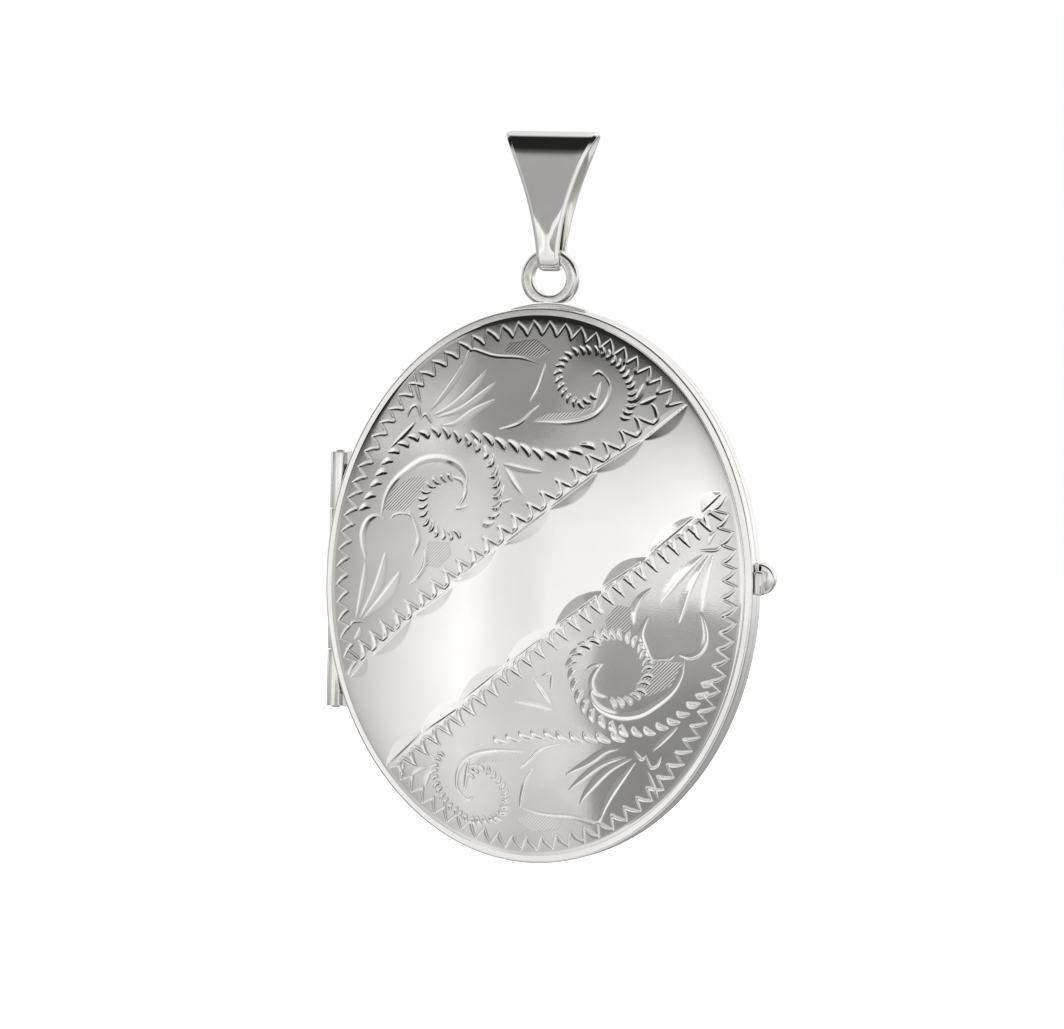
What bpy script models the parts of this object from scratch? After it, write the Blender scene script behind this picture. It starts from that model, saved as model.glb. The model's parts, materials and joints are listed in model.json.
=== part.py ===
"""An oval silver locket that hangs from a tapered bail.

Run it with blender --background --python part.py, or from Blender's text editor.

The origin is where the chain's centre lies in the bail. +Z is up, the engraved front cover faces
-Y, the hinge is at -X and the thumb tabs are at +X. Every piece of the locket is one object:
the bail, the back half with its loop ring, and the front half that swings on the hinge.
The oval pieces are modelled in a half's own frame: its XY plane is the seam between the halves,
its origin the oval's centre, and its +Z points out of that half's cover.
"""

import math

import bpy
from mathutils import Matrix, Vector

MM = 0.001

# The oval case
BODY_WIDTH = 31.7 * MM
BODY_HEIGHT = 39.8 * MM
BODY_CENTRE_Z = -31.3 * MM
SEAM_Y = -0.55 * MM
RIM_DEPTH = 1.3 * MM
RIM_WALL = 0.52 * MM
FLANGE_THICKNESS = 0.35 * MM
FLANGE_WIDTH = 1.7 * MM
RIM_ROUNDING = 0.2 * MM
HALF_SEAM = 0.03 * MM
SOLDER_GAP = 0.05 * MM
COVER_INSET = 0.55 * MM
COVER_THICKNESS = 0.4 * MM
COVER_EDGE = 0.25 * MM
DOME_HEIGHT = 2.65 * MM
DOME_POWER = 0.9

# What each half holds, as insets from the oval's outline and heights from the seam
LIP_INSET = (0.60 * MM, 0.90 * MM)
LIP_ROOT = 0.90 * MM
LIP_REACH = 0.75 * MM
LIP_GAP_HALF_HEIGHT = 9.7 * MM
SEAT_INSET = (0.98 * MM, 1.25 * MM)
SEAT_HEIGHT = (0.12 * MM, 0.90 * MM)
FRAME_INSET = (1.30 * MM, 2.30 * MM)
FRAME_FLAT = 0.55 * MM
FRAME_HEIGHT = (0.14 * MM, 0.51 * MM)
FRAME_BEVEL_DROP = 0.25 * MM
WINDOW_INSET = 1.35 * MM
WINDOW_HEIGHT = (0.53 * MM, 0.74 * MM)
CARD_HEIGHT = (0.77 * MM, 0.91 * MM)

# The hinge
HINGE_X = -15.28 * MM
KNUCKLE_RADIUS = 0.68 * MM
KNUCKLE_BORE = 0.36 * MM
KNUCKLE_GAP = 0.06 * MM
BACK_KNUCKLE = 4.12 * MM
FRONT_KNUCKLE = 3.02 * MM
PIN_RADIUS = 0.31 * MM
PIN_PROUD = 0.12 * MM
NOTCH_RADIUS = 0.90 * MM
BEARER_START = 8.3 * MM
BEARER_HEIGHT = (0.10 * MM, 0.75 * MM)

# The thumb tabs
FRONT_TAB_Z = 0.65 * MM
FRONT_TAB = (0.65 * MM, 1.75 * MM)
BACK_TAB_Z = 0.9 * MM
BACK_TAB = (1.18 * MM, 2.3 * MM)
TAB_HEIGHT = (0.12 * MM, 1.15 * MM)
TAB_ROUNDING = 0.15 * MM

# The loop ring on the back half, and its saddle
RING_CENTRE = 22.0 * MM
RING_RADIUS = 2.15 * MM
RING_HOLE = 1.3 * MM
RING_THICKNESS = 0.95 * MM
RING_ROUNDING = 0.2 * MM
RING_FOOT = 20.24 * MM
SADDLE_HALF_WIDTH = 2.75 * MM
SADDLE_THICKNESS = 0.24 * MM
SADDLE_END = 0.08 * MM
SADDLE_DEPTH = 1.0 * MM

# The bail, a folded strip that is narrow in the ring and wide at the chain
PIVOT_HEIGHT = 23.62 * MM
BAIL_TOP = 32.5 * MM
BAIL_SHEET = 0.38 * MM
BAIL_LOOP = 0.94 * MM
BAIL_FOLD = 1.15 * MM
BAIL_FOLD_HEIGHT = 2.2 * MM
BAIL_BULGE = 0.12 * MM
BAIL_NARROW = 0.75 * MM
BAIL_FLARE = 2.72 * MM
BAIL_FLARE_POWER = 1.9

OVAL_STEPS = 48
ROUND_STEPS = 20
CLEAR_THROUGH = 3.0 * MM

A = BODY_WIDTH / 2
B = BODY_HEIGHT / 2
KNUCKLES = (
    ("hinge_knuckle_back_top", BACK_KNUCKLE, "back"),
    ("hinge_knuckle_front_upper", FRONT_KNUCKLE, "front"),
    ("hinge_knuckle_back_middle", BACK_KNUCKLE, "back"),
    ("hinge_knuckle_front_lower", FRONT_KNUCKLE, "front"),
    ("hinge_knuckle_back_bottom", BACK_KNUCKLE, "back"),
)
HINGE_LENGTH = sum(length for _, length, _ in KNUCKLES)
BODY_CENTRE = Vector((0, SEAM_Y, BODY_CENTRE_Z))

# Colour, roughness and metallic value
MATERIALS = {
    "silver": ((0.90, 0.89, 0.87, 1), 0.12, 1.0),
    "silver_satin": ((0.82, 0.81, 0.79, 1), 0.35, 1.0),
    "clear_acetate": ((0.95, 0.96, 0.97, 0.3), 0.06, 0.0),
    "card": ((0.93, 0.91, 0.87, 1), 0.85, 0.0),
}


def clear_scene():
    for obj in list(bpy.data.objects):
        bpy.data.objects.remove(obj, do_unlink=True)


def new_collection(name):
    collection = bpy.data.collections.new(name)
    bpy.context.scene.collection.children.link(collection)
    return collection


def material(name):
    found = bpy.data.materials.get(name)
    if found:
        return found
    colour, roughness, metallic = MATERIALS[name]
    made = bpy.data.materials.new(name)
    made.use_nodes = True
    shader = made.node_tree.nodes["Principled BSDF"]
    shader.inputs["Base Color"].default_value = colour
    shader.inputs["Roughness"].default_value = roughness
    shader.inputs["Metallic"].default_value = metallic
    shader.inputs["Alpha"].default_value = colour[3]
    return made


def half_matrix(half):
    """From a half's own frame to the world: the front half's +Z is the world's -Y."""
    turn = math.radians(90 if half == "front" else -90)
    return Matrix.Translation(BODY_CENTRE) @ Matrix.Rotation(turn, 4, "X")


def add(name, data, matrix, material_name=None, cutter=False):
    """A new object in the locket's collection, or in the cutters', hidden from renders."""
    obj = bpy.data.objects.new(name, data)
    (cutters if cutter else locket).objects.link(obj)
    obj.matrix_world = matrix
    if cutter:
        obj.hide_render = True
        obj.display_type = "WIRE"
    else:
        data.materials.append(material(material_name))
    return obj


def flat_curve(name, outlines, half_thickness=0.0, filled=True):
    """Closed outlines in the XY plane, as one curve extruded both ways along Z."""
    curve = bpy.data.curves.new(name, "CURVE")
    curve.dimensions = "2D"
    curve.fill_mode = "BOTH" if filled else "NONE"
    curve.extrude = half_thickness
    for outline in outlines:
        spline = curve.splines.new("POLY")
        spline.points.add(len(outline) - 1)
        for point, (x, y) in zip(spline.points, outline):
            point.co = (x, y, 0, 1)
        spline.use_cyclic_u = True
    return curve


def as_mesh(obj, weld=0.00001):
    """The curve object as a mesh object, with its loose caps welded on."""
    bpy.context.view_layer.update()
    graph = bpy.context.evaluated_depsgraph_get()
    mesh = bpy.data.meshes.new_from_object(obj.evaluated_get(graph))
    mesh.name = obj.name
    made = bpy.data.objects.new(obj.name, mesh)
    for collection in obj.users_collection:
        collection.objects.link(made)
    made.matrix_world = obj.matrix_world
    made.hide_render = obj.hide_render
    made.display_type = obj.display_type
    name = obj.name
    bpy.data.objects.remove(obj, do_unlink=True)
    made.name = name
    modifier = made.modifiers.new("weld_caps", "WELD")
    modifier.merge_threshold = weld
    return made


def smooth(obj, degrees=35):
    """Shades a mesh object smooth, apart from edges sharper than the angle."""
    obj.data.shade_smooth()
    obj.data.set_sharp_from_angle(angle=math.radians(degrees))


def boolean(obj, cutter, operation="DIFFERENCE"):
    modifier = obj.modifiers.new(cutter.name, "BOOLEAN")
    modifier.object = cutter
    modifier.operation = operation


def bevel(obj, width, segments=2, angle=40):
    modifier = obj.modifiers.new("rounding", "BEVEL")
    modifier.width = width
    modifier.segments = segments
    modifier.limit_method = "ANGLE"
    modifier.angle_limit = math.radians(angle)


def oval(inset=0.0, steps=OVAL_STEPS):
    """Points of the case's outline, moved in by the inset along its normal."""
    points = []
    for i in range(steps):
        t = 2 * math.pi * i / steps
        normal = Vector((math.cos(t) * B, math.sin(t) * A)).normalized()
        points.append(Vector((A * math.cos(t), B * math.sin(t))) - normal * inset)
    return points


def oval_x(z, outset=0.0):
    """How far the outline is from the centre line at height z, moved out by the outset."""
    return (A + outset) * math.sqrt(1 - (z / (B + outset)) ** 2)


def oval_top(x, outset=0.0):
    """How high the outline is at x, moved out by the outset."""
    return (B + outset) * math.sqrt(1 - (x / (A + outset)) ** 2)


def oval_ring(name, half, section, material_name):
    """A section of (inset, height) points, swept round the oval by a bevel object."""
    profile = flat_curve(name + "_section", [section], filled=False)
    profile_obj = add(name + "_section", profile, Matrix(), cutter=True)
    path = flat_curve(name, [oval()], filled=False)
    path.bevel_mode = "OBJECT"
    path.bevel_object = profile_obj
    ring = as_mesh(add(name, path, half_matrix(half), material_name))
    bpy.data.objects.remove(profile_obj, do_unlink=True)
    smooth(ring)
    return ring


def oval_plate(name, half, inset, heights, material_name):
    low, high = heights
    curve = flat_curve(name, [oval(inset)], (high - low) / 2)
    place = half_matrix(half) @ Matrix.Translation((0, 0, (low + high) / 2))
    return as_mesh(add(name, curve, place, material_name))


def turned(name, profile, matrix, material_name, steps, closed):
    """A profile of (radius, height) points turned about Z by a Screw modifier."""
    mesh = bpy.data.meshes.new(name)
    count = len(profile)
    edges = [(i, i + 1) for i in range(count - 1)]
    if closed:
        edges.append((count - 1, 0))
    mesh.from_pydata([(r, 0, z) for r, z in profile], edges, [])
    obj = add(name, mesh, matrix, material_name)
    screw = obj.modifiers.new("turned", "SCREW")
    screw.steps = screw.render_steps = steps
    screw.use_merge_vertices = True
    screw.merge_threshold = 0.000001
    screw.use_smooth_shade = True
    return obj


def dome_rise(share):
    """The dome's height above its edge at a share of the way out from the centre."""
    return DOME_HEIGHT * (1 - share**2) ** DOME_POWER


def cover(name, half):
    """A domed sheet whose foot sits on the rim's flange, turned and then made oval."""
    foot = RIM_DEPTH + SOLDER_GAP
    radius = B - COVER_INSET
    shares = [i / 6 for i in range(6)] + [0.92, 0.97, 1.0]
    outer = [(radius * s, foot + COVER_EDGE + dome_rise(s)) for s in shares]
    inner = [(r, z - COVER_THICKNESS) for r, z in outer if z - COVER_THICKNESS > foot]
    inner.append((inner[-1][0] + COVER_THICKNESS, foot))
    profile = outer + [(radius, foot)] + inner[::-1]
    place = half_matrix(half) @ Matrix.Diagonal(((A - COVER_INSET) / radius, 1, 1, 1))
    return turned(name, profile, place, "silver", OVAL_STEPS, closed=False)


def rim(name, half):
    """The half's side wall with the flange that carries its cover, notched for the hinge."""
    low, high = HALF_SEAM, RIM_DEPTH
    section = [
        (0, low),
        (0, high - RIM_ROUNDING),
        (RIM_ROUNDING * 0.3, high - RIM_ROUNDING * 0.3),
        (RIM_ROUNDING, high),
        (FLANGE_WIDTH, high),
        (FLANGE_WIDTH, high - FLANGE_THICKNESS),
        (RIM_WALL, high - FLANGE_THICKNESS),
        (RIM_WALL, low),
    ]
    ring = oval_ring(name, half, section, "silver")
    boolean(ring, hinge_notch)
    return ring


def rectangle(insets, heights):
    return [
        (insets[0], heights[0]),
        (insets[0], heights[1]),
        (insets[1], heights[1]),
        (insets[1], heights[0]),
    ]


def closing_lip():
    """The inner band on the back half that the front rim snaps over, open at the hinge."""
    section = rectangle(LIP_INSET, (-LIP_REACH, LIP_ROOT))
    lip = oval_ring("closing_lip", "back", section, "silver_satin")
    boolean(lip, lip_opening)
    return lip


def picture_holder(half):
    """What holds a picture in one half: its seat, card, clear window and snap-in frame."""
    low, high = FRAME_HEIGHT
    outer, inner = FRAME_INSET
    section = [
        (outer, low),
        (outer, high),
        (inner, high),
        (inner, low + FRAME_BEVEL_DROP),
        (outer + FRAME_FLAT, low),
    ]
    seat = oval_ring(f"{half}_frame_seat", half, rectangle(SEAT_INSET, SEAT_HEIGHT), "silver_satin")
    boolean(seat, hinge_notch)
    return [
        seat,
        oval_plate(f"{half}_photo_card", half, WINDOW_INSET, CARD_HEIGHT, "card"),
        oval_plate(f"{half}_window", half, WINDOW_INSET, WINDOW_HEIGHT, "clear_acetate"),
        oval_ring(f"{half}_photo_frame", half, section, "silver"),
    ]


def cylinder(name, radius, depth, centre, vertices=ROUND_STEPS, cutter=True):
    bpy.ops.mesh.primitive_cylinder_add(vertices=vertices, radius=radius, depth=depth)
    made = bpy.context.object
    mesh = made.data
    bpy.data.objects.remove(made, do_unlink=True)
    return add(name, mesh, Matrix.Translation(centre), "silver", cutter)


def box(name, size, centre, material_name="silver", cutter=False):
    bpy.ops.mesh.primitive_cube_add(size=1)
    made = bpy.context.object
    mesh = made.data
    bpy.data.objects.remove(made, do_unlink=True)
    mesh.transform(Matrix.Diagonal((*size, 1)))
    return add(name, mesh, Matrix.Translation(centre), material_name, cutter)


def hinge_pieces():
    """Five knuckles in a line from the top, the pin through them, and the bearers."""
    pieces = {"front": [], "back": []}
    top = BODY_CENTRE_Z + HINGE_LENGTH / 2
    for name, length, half in KNUCKLES:
        low, high = top - length + KNUCKLE_GAP / 2, top - KNUCKLE_GAP / 2
        profile = [
            (KNUCKLE_BORE, high),
            (KNUCKLE_RADIUS, high),
            (KNUCKLE_RADIUS, low),
            (KNUCKLE_BORE, low),
        ]
        place = Matrix.Translation((HINGE_X, SEAM_Y, 0))
        pieces[half].append(turned(name, profile, place, "silver", ROUND_STEPS, closed=True))
        top -= length
    centre = (HINGE_X, SEAM_Y, BODY_CENTRE_Z)
    pin_length = HINGE_LENGTH + 2 * PIN_PROUD
    pin = cylinder("hinge_pin", PIN_RADIUS, pin_length, centre, 16, cutter=False)
    bevel(pin, PIN_PROUD * 0.6)
    pieces["back"].append(pin)
    for half in ("front", "back"):
        for place, sign in (("upper", 1), ("lower", -1)):
            pieces[half].append(bearer(f"{half}_hinge_bearer_{place}", half, sign))
    return pieces


def bearer(name, half, sign):
    """A wedge that fills the space between the straight hinge and the curved rim."""
    start, end = BEARER_START, HINGE_LENGTH / 2
    side = HINGE_X + KNUCKLE_RADIUS + SOLDER_GAP
    heights = [start + (end - start) * i / 4 for i in range(5)]
    outline = [(-oval_x(z, SOLDER_GAP), z) for z in heights]
    outline += [(side, end), (side, start)]
    up = sign if half == "front" else -sign
    low, high = BEARER_HEIGHT
    curve = flat_curve(name, [[(x, z * up) for x, z in outline]], (high - low) / 2)
    place = half_matrix(half) @ Matrix.Translation((0, 0, (low + high) / 2))
    return as_mesh(add(name, curve, place, "silver_satin"))


def thumb_tabs():
    """The small block on the front half and the larger rounded one behind it."""
    low, high = TAB_HEIGHT
    root = A + SOLDER_GAP
    reach, height = FRONT_TAB
    centre = BODY_CENTRE + Vector((root + reach / 2, -(low + high) / 2, FRONT_TAB_Z))
    front = box("front_thumb_tab", (reach, high - low, height), centre)
    bevel(front, TAB_ROUNDING)
    reach, height = BACK_TAB
    radius = height / 2
    arc = [math.pi * (i / 12 - 0.5) for i in range(13)]
    nose = root + reach - radius
    outline = [(nose + radius * math.cos(t), radius * math.sin(t)) for t in arc]
    outline += [(root, radius), (root, -radius)]
    curve = flat_curve("back_thumb_tab", [outline], (high - low) / 2)
    shift = Matrix.Translation((0, -BACK_TAB_Z, (low + high) / 2))
    back = as_mesh(add("back_thumb_tab", curve, half_matrix("back") @ shift, "silver"))
    bevel(back, TAB_ROUNDING)
    return front, back


def rounded_rectangle(inner, outer, half_height, rounding, steps=2):
    """(radius, height) points from the top of the outer side round to the top of the inner."""
    corners = (
        (outer - rounding, half_height - rounding, 90),
        (outer - rounding, rounding - half_height, 0),
        (inner + rounding, rounding - half_height, -90),
        (inner + rounding, half_height - rounding, -180),
    )
    points = []
    for x, y, start in corners:
        for i in range(steps + 1):
            t = math.radians(start - 90 * i / steps)
            points.append((x + rounding * math.cos(t), y + rounding * math.sin(t)))
    return points


def loop_pieces():
    """The ring that the bail passes through, cut flat where it stands on its saddle."""
    centre = Matrix.Translation((0, 0, BODY_CENTRE_Z + RING_CENTRE))
    profile = rounded_rectangle(RING_HOLE, RING_RADIUS, RING_THICKNESS / 2, RING_ROUNDING)
    facing = centre @ Matrix.Rotation(math.radians(90), 4, "X")
    ring = turned("loop_ring", profile, facing, "silver", 28, closed=True)
    foot_depth = 2 * MM
    foot = box(
        "ring_foot",
        (6 * MM, 4 * MM, foot_depth),
        (0, 0, BODY_CENTRE_Z + RING_FOOT - foot_depth / 2),
        cutter=True,
    )
    boolean(ring, foot)

    steps = 12
    xs = [SADDLE_HALF_WIDTH * (2 * i / steps - 1) for i in range(steps + 1)]
    under = [(x, oval_top(x, SOLDER_GAP)) for x in xs]
    over = [
        (x, oval_top(x, SOLDER_GAP) + SADDLE_END + saddle_swell(x))
        for x in reversed(xs)
    ]
    curve = flat_curve("loop_saddle", [under + over], SADDLE_DEPTH / 2)
    facing = Matrix.Rotation(math.radians(90), 4, "X")
    saddle = as_mesh(
        add("loop_saddle", curve, Matrix.Translation((0, 0, BODY_CENTRE_Z)) @ facing, "silver")
    )
    return ring, saddle


def saddle_swell(x):
    """The saddle is thickest under the ring and thins out towards its ends."""
    return (SADDLE_THICKNESS - SADDLE_END) * (1 - (x / SADDLE_HALF_WIDTH) ** 2)


def bail_section():
    """The bent strip's middle line seen from the side, as (y, z) points about the pivot."""
    fold_foot = BAIL_TOP - BAIL_SHEET / 2 - BAIL_FOLD_HEIGHT - PIVOT_HEIGHT
    loop = [math.pi * (1 + i / 12) for i in range(13)]
    points = [(BAIL_LOOP * math.cos(t), BAIL_LOOP * math.sin(t)) for t in loop]
    leaf = []
    for i in range(1, 9):
        share = i / 9
        depth = BAIL_LOOP + (BAIL_FOLD - BAIL_LOOP) * share
        leaf.append((depth + BAIL_BULGE * math.sin(math.pi * share), fold_foot * share))
    points += leaf
    fold = [math.pi * i / 16 for i in range(17)]
    points += [
        (BAIL_FOLD * math.cos(t), fold_foot + BAIL_FOLD_HEIGHT * math.sin(t)) for t in fold
    ]
    points += [(-y, z) for y, z in reversed(leaf)]
    return points


def bail_half_width(height):
    """Half the strip's width at a height above the oval's centre."""
    bottom = PIVOT_HEIGHT - BAIL_LOOP - BAIL_SHEET / 2
    share = max(0.0, min(1.0, (height - bottom) / (BAIL_TOP - bottom)))
    return BAIL_NARROW + BAIL_FLARE * share**BAIL_FLARE_POWER


def bail_piece():
    """A strip bent round the ring and over the chain, trimmed to its flared outline."""
    strip = flat_curve("bail", [bail_section()], BAIL_NARROW + BAIL_FLARE + MM, filled=False)
    # The strip's outline lies in its XY plane, so X becomes the world's Y and Y its Z.
    upright = Matrix(((0, 0, 1, 0), (1, 0, 0, 0), (0, 1, 0, 0), (0, 0, 0, 1)))
    pivot = Matrix.Translation((0, 0, BODY_CENTRE_Z + PIVOT_HEIGHT))
    bail = as_mesh(add("bail", strip, pivot @ upright, "silver"))
    sheet = bail.modifiers.new("sheet", "SOLIDIFY")
    sheet.thickness = BAIL_SHEET
    sheet.offset = 0

    bottom = PIVOT_HEIGHT - BAIL_LOOP - BAIL_SHEET / 2 - MM
    heights = [bottom] + [
        PIVOT_HEIGHT - MM + (BAIL_TOP - PIVOT_HEIGHT + MM) * i / 14 for i in range(15)
    ]
    heights.append(BAIL_TOP + MM)
    right = [(bail_half_width(z), z) for z in heights]
    left = [(-x, z) for x, z in reversed(right)]
    curve = flat_curve("bail_outline", [right + left], CLEAR_THROUGH)
    facing = Matrix.Rotation(math.radians(90), 4, "X")
    place = Matrix.Translation((0, 0, BODY_CENTRE_Z)) @ facing
    outline = as_mesh(add("bail_outline", curve, place, cutter=True))
    boolean(bail, outline, "INTERSECT")
    return bail


def joint_empty(name, place, parent=None):
    empty = bpy.data.objects.new(name, None)
    empty.empty_display_size = 2 * MM
    locket.objects.link(empty)
    empty.location = place
    if parent:
        keep_in_place(empty, parent)
    return empty


def keep_in_place(obj, parent):
    """Parents the object without moving it."""
    bpy.context.view_layer.update()
    obj.parent = parent
    obj.matrix_parent_inverse = parent.matrix_world.inverted()


clear_scene()
locket = new_collection("locket")
cutters = new_collection("cutters")

hinge_notch = cylinder(
    "hinge_notch",
    NOTCH_RADIUS,
    HINGE_LENGTH + 0.2 * MM,
    (HINGE_X, SEAM_Y, BODY_CENTRE_Z),
    vertices=32,
)
lip_opening = box(
    "lip_opening",
    (6 * MM, 4 * MM, 2 * LIP_GAP_HALF_HEIGHT),
    (-A + 1 * MM, SEAM_Y, BODY_CENTRE_Z),
    cutter=True,
)

bail_piece()
swing_axis = joint_empty("swing_axis", (0, 0, BODY_CENTRE_Z + PIVOT_HEIGHT))
hinge_axis = joint_empty("hinge_axis", (HINGE_X, SEAM_Y, BODY_CENTRE_Z), swing_axis)

hinge = hinge_pieces()
front_tab, back_tab = thumb_tabs()
back_half = [
    cover("back_cover", "back"),
    rim("back_rim", "back"),
    closing_lip(),
    *picture_holder("back"),
    *hinge["back"],
    *loop_pieces(),
    back_tab,
]
front_half = [
    cover("front_cover", "front"),
    rim("front_rim", "front"),
    *picture_holder("front"),
    *hinge["front"],
    front_tab,
]
for part in back_half:
    keep_in_place(part, swing_axis)
for part in front_half:
    keep_in_place(part, hinge_axis)
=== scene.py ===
"""Fine surfaces, materials, light and camera for the oval engraved locket.

Sizes here are in millimetres, and meshes are made in metres. The oval case's outline, the seam and
the hinge come from the CAD nodes' boxes, and every fine piece is fitted to its own node's box.
"""

import json
import math

import bmesh
import bpy
import numpy as np
from mathutils import Matrix, Vector


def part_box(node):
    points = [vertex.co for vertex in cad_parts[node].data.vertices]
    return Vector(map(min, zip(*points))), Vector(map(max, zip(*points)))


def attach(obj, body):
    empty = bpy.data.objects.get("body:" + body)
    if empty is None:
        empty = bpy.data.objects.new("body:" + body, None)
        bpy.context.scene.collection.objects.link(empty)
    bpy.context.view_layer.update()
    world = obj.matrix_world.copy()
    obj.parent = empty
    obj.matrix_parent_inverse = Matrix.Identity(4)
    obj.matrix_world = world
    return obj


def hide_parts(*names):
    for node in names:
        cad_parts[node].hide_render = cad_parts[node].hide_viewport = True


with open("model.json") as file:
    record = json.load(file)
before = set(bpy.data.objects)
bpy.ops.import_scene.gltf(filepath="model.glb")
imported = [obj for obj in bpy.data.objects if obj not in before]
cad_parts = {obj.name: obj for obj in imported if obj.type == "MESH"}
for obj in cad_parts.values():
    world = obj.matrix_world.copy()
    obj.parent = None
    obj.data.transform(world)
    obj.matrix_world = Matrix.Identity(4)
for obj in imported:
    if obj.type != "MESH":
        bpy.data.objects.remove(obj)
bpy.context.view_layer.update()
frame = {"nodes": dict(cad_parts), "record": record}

MM = 0.001
RNG = np.random.default_rng(7)
BEHAVIOUR = frame["record"]["behaviour"]["bodies"]
BODY_OF = {node: body for body, nodes in BEHAVIOUR.items() for node in nodes}

# The case
COVER_INSET = 0.55
RIM_DEPTH = 1.3
RIM_WALL = 0.52
FLANGE_THICKNESS = 0.35
FLANGE_WIDTH = 1.7
HALF_SEAM = 0.03
SOLDER_GAP = 0.05
COVER_THICKNESS = 0.4
COVER_EDGE = 0.25
DOME_HEIGHT = 2.65
DOME_POWER = 0.9
WAVINESS = 0.0015
HATCH_PITCH = 0.17
FRONT_GRID = 540
BACK_GRID = 150
OVAL_STEPS = 480

# Inside the halves: insets from the case's outline, and heights out from the seam
LIP_INSETS = (0.60, 0.90)
LIP_HEIGHTS = (-0.75, 0.90)
SEAT_INSETS = (0.98, 1.25)
SEAT_HEIGHTS = (0.12, 0.90)
FRAME_CORNERS = [(1.30, 0.14), (1.30, 0.51), (2.30, 0.51), (2.30, 0.39), (1.85, 0.14)]
FRAME_RADII = [0.05, 0.04, 0.03, 0.04, 0.12]
SHEET_INSET = 1.35
WINDOW_HEIGHTS = (0.53, 0.74)
CARD_HEIGHTS = (0.77, 0.91)

# The hinge
KNUCKLE_BORE = 0.36
KNUCKLE_CHAMFER = 0.07
NOTCH_RADIUS = 1.04
LIP_GAP_HALF_HEIGHT = 9.7

# The ring, its saddle and the thumb tabs
RING_HOLE = 1.24
RING_RADII = [0.2, 0.42, 0.42, 0.2]
SADDLE_END = 0.08
SADDLE_SWELL = 0.16
FRONT_TAB_BEVEL = 0.2
BACK_TAB_BEVEL = 0.22

# The bail, from its pivot in the ring
PIVOT_HEIGHT = 23.62
BAIL_TOP = 32.5
BAIL_SHEET = 0.38
BAIL_LOOP = 0.94
BAIL_FOLD = 1.15
BAIL_FOLD_HEIGHT = 3.0
BAIL_BULGE = 0.12
BAIL_NARROW = 0.75
BAIL_FLARE = 2.72
BAIL_FLARE_POWER = 1.9
BAIL_BEVEL = (0.24, 0.13)
BAIL_CROWN = 0.2
BAIL_FACE = (1, 0.75, 0.5, 0.25, 0, -0.25, -0.5, -0.75, -1)

# The camera, and the angle that the locket hangs at
CAMERA_AZIMUTH = math.radians(15.5)
CAMERA_ELEVATION = math.radians(2.0)
HANG_ANGLE = math.radians(1.15)
CAMERA_DISTANCE = 0.6
VIEW_WIDTH = 76.27
BODY_RIGHT_OF_MIDDLE = 0.738
BODY_BELOW_MIDDLE = 5.054


# How light the room is around the locket, by the angle over it from the camera's side, in degrees,
# and by how far a direction points to the right
ROOM_OVER = [
    (-180, 0.92),
    (-175, 0.60),
    (-166, 0.33),
    (-150, 0.28),
    (-130, 0.32),
    (-90, 0.55),
    (-45, 0.75),
    (-25, 0.98),
    (-12, 1.02),
    (-2, 0.98),
    (4, 0.97),
    (8, 0.90),
    (14, 0.72),
    (20, 0.51),
    (24, 0.36),
    (28, 0.12),
    (34, 0.02),
    (72, 0.02),
    (84, 0.95),
    (180, 0.92),
]
ROOM_ACROSS = [
    (-1.00, 0.55),
    (-0.85, 0.56),
    (-0.76, 0.66),
    (-0.68, 0.76),
    (-0.60, 0.87),
    (-0.45, 1.08),
    (-0.40, 1.00),
    (-0.35, 0.87),
    (-0.27, 0.83),
    (-0.19, 0.95),
    (-0.10, 0.96),
    (0.05, 1.00),
    (0.20, 1.08),
    (0.30, 1.18),
    (0.50, 0.98),
    (1.00, 0.75),
]


def box_mm(node):
    low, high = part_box(node)
    return np.array(low) / MM, np.array(high) / MM


cover_low, cover_high = box_mm("front_cover")
CENTRE_X, _, CENTRE_Z = (cover_low + cover_high) / 2
A = (cover_high[0] - cover_low[0]) / 2 + COVER_INSET
B = (cover_high[2] - cover_low[2]) / 2 + COVER_INSET
SEAM_Y = (box_mm("front_rim")[1][1] + box_mm("back_rim")[0][1]) / 2
knuckle_low, knuckle_high = box_mm("hinge_knuckle_back_middle")
HINGE_X = (knuckle_low[0] + knuckle_high[0]) / 2
hinge_top = box_mm("hinge_knuckle_back_top")[1][2]
hinge_bottom = box_mm("hinge_knuckle_back_bottom")[0][2]
HINGE_HALF = (hinge_top - hinge_bottom) / 2


# Meshes


def mesh_from(name, points, faces):
    mesh = bpy.data.meshes.new(name)
    mesh.from_pydata(np.asarray(points, float) * MM, [], faces)
    mesh.update()
    return mesh


def outward(mesh):
    """Turns a closed mesh's faces outward."""
    work = bmesh.new()
    work.from_mesh(mesh)
    bmesh.ops.recalc_face_normals(work, faces=work.faces)
    work.to_mesh(mesh)
    work.free()


def link(name, mesh):
    obj = bpy.data.objects.new(name, mesh)
    bpy.context.scene.collection.objects.link(obj)
    return obj


def place(mesh, node, material, sharp=35):
    """The fine piece that stands for a CAD node, fitted to the node's box, on the node's body."""
    low, high = (np.array(corner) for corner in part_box(node))
    points = np.empty(len(mesh.vertices) * 3)
    mesh.vertices.foreach_get("co", points)
    points = points.reshape(-1, 3)
    own_low, own_high = points.min(0), points.max(0)
    points = low + (points - own_low) * (high - low) / (own_high - own_low)
    mesh.vertices.foreach_set("co", points.ravel())
    mesh.update()
    mesh.shade_smooth()
    mesh.set_sharp_from_angle(angle=math.radians(sharp))
    mesh.materials.clear()
    mesh.materials.append(material)
    obj = link(node + "_fine", mesh)
    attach(obj, BODY_OF[node])
    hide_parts(node)
    return obj


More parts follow.
